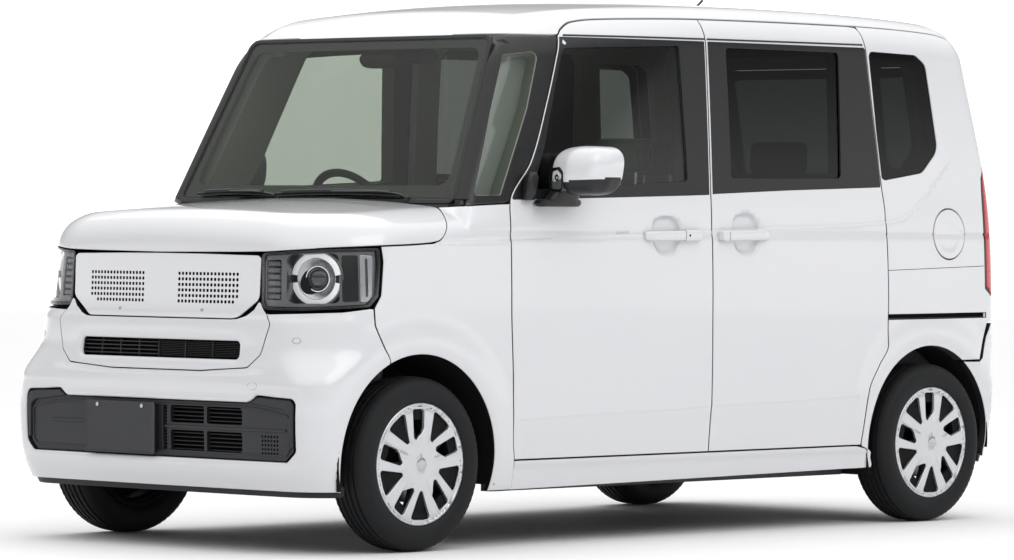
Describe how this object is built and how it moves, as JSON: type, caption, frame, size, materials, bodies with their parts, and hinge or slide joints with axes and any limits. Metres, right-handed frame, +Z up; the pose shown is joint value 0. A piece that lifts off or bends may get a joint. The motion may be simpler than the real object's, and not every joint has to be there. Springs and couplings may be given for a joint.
{
  "type": "kei car",
  "caption": "Tall one-box small car with hinged front doors, bonnet and tailgate, turning wheels and linked steering.",
  "frame": {"origin": "on the ground under the middle of the car", "axes": "+Z up, nose towards -Y, the car's left side towards +X"},
  "size_m": [1.7994, 3.3934, 1.8028],
  "materials": {
    "body_paint": "gloss pearl white paint",
    "clear_glass": "clear greenish glass",
    "dark_glass": "dark privacy glass",
    "lamp_lens": "clear lens over dark surround",
    "red_lens": "gloss red lens",
    "dark_plastic": "grained dark plastic",
    "mirror_shell": "gloss white shell",
    "plate_metal": "satin blank plate",
    "underbody_steel": "underbody coating",
    "cast_metal": "cast surface",
    "exhaust_steel": "dull steel",
    "suspension_steel": "satin black paint",
    "cabin_plastic": "fine-grained plastic",
    "seat_fabric": "woven cloth",
    "tyre": "rubber",
    "wheel_silver": "silver painted cover"
  },
  "bodies": {
    "body": {"antenna": "dark_plastic", "body_side_left": "body_paint", "body_side_right": "body_paint", "bumper_grilles": "dark_plastic", "cowl_panel": "dark_plastic", "dashboard": "cabin_plastic", "engine": "cast_metal", "exhaust": "exhaust_steel", "floor_pan": "underbody_steel", "front_bumper": "body_paint", "front_fender_left": "body_paint", "front_fender_right": "body_paint", "front_number_plate": "plate_metal", "front_seats": "seat_fabric", "front_suspension": "suspension_steel", "fuel_tank": "dark_plastic", "grille_panel": "body_paint", "headlights": "lamp_lens", "interior_mirror": "cabin_plastic", "quarter_windows": "dark_glass", "rear_axle": "suspension_steel", "rear_bumper": "body_paint", "rear_seats": "seat_fabric", "roof_panel": "body_paint", "sliding_door_left": "body_paint", "sliding_door_right": "body_paint", "sliding_door_windows": "dark_glass", "tail_lamps": "red_lens", "windscreen": "clear_glass", "wipers": "dark_plastic"},
    "front_door_left": {"front_door_left": "body_paint", "front_door_glass_left": "clear_glass", "door_mirror_left": "mirror_shell"},
    "front_door_right": {"front_door_right": "body_paint", "front_door_glass_right": "clear_glass", "door_mirror_right": "mirror_shell"},
    "bonnet": {"bonnet": "body_paint"},
    "tailgate": {"tailgate": "body_paint", "tailgate_glass": "dark_glass", "rear_number_plate": "plate_metal"},
    "fuel_flap": {"fuel_flap": "body_paint"},
    "steering_wheel": {"steering_wheel": "cabin_plastic"},
    "knuckle_left": {"steering_knuckle_left": "suspension_steel"},
    "knuckle_right": {"steering_knuckle_right": "suspension_steel"},
    "road_wheel_front_left": {"tyre_front_left": "tyre", "wheel_front_left": "wheel_silver"},
    "road_wheel_front_right": {"tyre_front_right": "tyre", "wheel_front_right": "wheel_silver"},
    "road_wheel_rear_left": {"tyre_rear_left": "tyre", "wheel_rear_left": "wheel_silver"},
    "road_wheel_rear_right": {"tyre_rear_right": "tyre", "wheel_rear_right": "wheel_silver"}
  },
  "joints": [
    {"name": "front_door_left_hinge", "type": "hinge", "parent": "body", "child": "front_door_left", "pos_m": [0.712, -0.773, 0.69], "axis": [0, 0, -1], "range_deg": [0, 70]},
    {"name": "front_door_right_hinge", "type": "hinge", "parent": "body", "child": "front_door_right", "pos_m": [-0.712, -0.773, 0.69], "axis": [0, 0, 1], "range_deg": [0, 70]},
    {"name": "bonnet_hinge", "type": "hinge", "parent": "body", "child": "bonnet", "pos_m": [0, -1.032, 1.096], "axis": [-1, 0, 0], "range_deg": [0, 50]},
    {"name": "tailgate_hinge", "type": "hinge", "parent": "body", "child": "tailgate", "pos_m": [0, 1.561, 1.644], "axis": [1, 0, 0], "range_deg": [0, 82]},
    {"name": "fuel_flap_hinge", "type": "hinge", "parent": "body", "child": "fuel_flap", "pos_m": [0.7225, 1.316, 1], "axis": [0, 0, -1], "range_deg": [0, 90]},
    {"name": "steer_left", "type": "hinge", "parent": "body", "child": "knuckle_left", "pos_m": [0.59658, -1.2175, 0.275], "axis": [-0.156, 0, 0.9878], "range_deg": [-35, 35]},
    {"name": "steer_right", "type": "hinge", "parent": "body", "child": "knuckle_right", "pos_m": [-0.59658, -1.2175, 0.275], "axis": [0.156, 0, 0.9878], "range_deg": [-35, 35]},
    {"name": "steering_wheel_turn", "type": "hinge", "parent": "body", "child": "steering_wheel", "pos_m": [-0.33, -0.48, 1.045], "axis": [0, 0.866, 0.5], "range_deg": [-525, 525]},
    {"name": "roll_front_left", "type": "hinge", "parent": "knuckle_left", "child": "road_wheel_front_left", "pos_m": [0.6525, -1.2175, 0.275], "axis": [1, 0, 0], "continuous": true},
    {"name": "roll_front_right", "type": "hinge", "parent": "knuckle_right", "child": "road_wheel_front_right", "pos_m": [-0.6525, -1.2175, 0.275], "axis": [1, 0, 0], "continuous": true},
    {"name": "roll_rear_left", "type": "hinge", "parent": "body", "child": "road_wheel_rear_left", "pos_m": [0.6525, 1.3025, 0.275], "axis": [1, 0, 0], "continuous": true},
    {"name": "roll_rear_right", "type": "hinge", "parent": "body", "child": "road_wheel_rear_right", "pos_m": [-0.6525, 1.3025, 0.275], "axis": [1, 0, 0], "continuous": true}
  ],
  "couplings": [
    {"joint": "steer_right", "follows": "steer_left", "ratio": 1},
    {"joint": "steering_wheel_turn", "follows": "steer_left", "ratio": 14.5}
  ]
}
